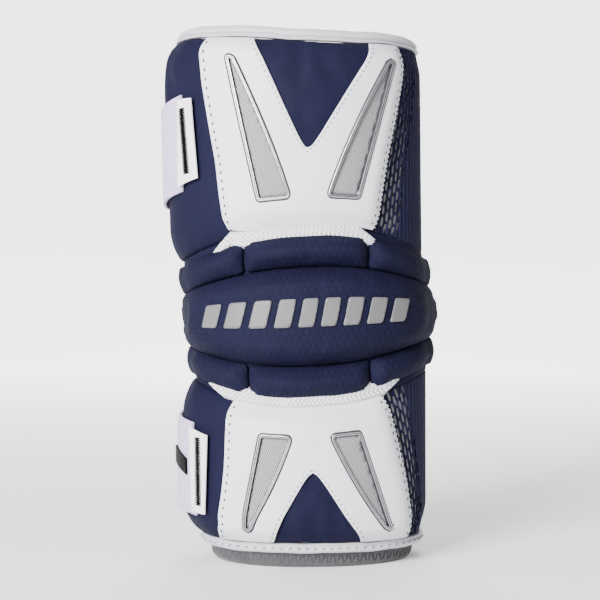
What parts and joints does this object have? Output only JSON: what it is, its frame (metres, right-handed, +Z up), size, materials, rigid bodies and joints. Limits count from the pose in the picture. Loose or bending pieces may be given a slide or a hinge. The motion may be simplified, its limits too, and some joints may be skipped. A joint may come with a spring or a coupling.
{
  "type": "lacrosse arm pad",
  "caption": "Padded elbow and arm sleeve with notched panels, tapered vent inserts, an elbow cap, net gussets and two elastic straps",
  "frame": {"origin": "centre of the bounding box's underside, on the surface that the lower rim stands on", "axes": "+X across the pad towards the side with the net, +Y from the front panels to the back, +Z up from the lower rim to the upper arm rim"},
  "size_m": [0.1546, 0.1196, 0.29],
  "materials": {
    "navy_cloth": "matte embossed",
    "navy_net": "matte open net",
    "white_skin": "satin",
    "white_knit": "matte",
    "grey_liner": "matte",
    "silver_rim": "satin",
    "silver_mesh": "woven",
    "strap_elastic": "matte",
    "black_rubber": "satin"
  },
  "bodies": {
    "root": {"liner": "grey_liner", "top_binding": "white_skin", "bottom_binding": "white_skin", "elbow_sleeve": "navy_cloth", "elbow_cap": "navy_cloth", "upper_band_left": "navy_cloth", "upper_band_middle": "navy_cloth", "upper_band_right": "navy_cloth", "lower_band_left": "navy_cloth", "lower_band_middle": "navy_cloth", "lower_band_right": "navy_cloth", "upper_pad": "navy_cloth", "upper_panel": "white_skin", "upper_insert_rim_left": "silver_rim", "upper_insert_mesh_left": "silver_mesh", "upper_insert_rim_right": "silver_rim", "upper_insert_mesh_right": "silver_mesh", "upper_net": "navy_net", "upper_back": "navy_cloth", "upper_underlay": "white_knit", "upper_strap": "strap_elastic", "upper_strap_tab": "white_skin", "lower_pad": "navy_cloth", "lower_panel": "white_skin", "lower_insert_rim_left": "silver_rim", "lower_insert_mesh_left": "silver_mesh", "lower_insert_rim_right": "silver_rim", "lower_insert_mesh_right": "silver_mesh", "lower_net": "navy_net", "lower_back": "navy_cloth", "lower_underlay": "white_knit", "lower_strap": "strap_elastic", "lower_strap_tab": "white_skin", "strap_patch": "black_rubber"}
  },
  "joints": []
}
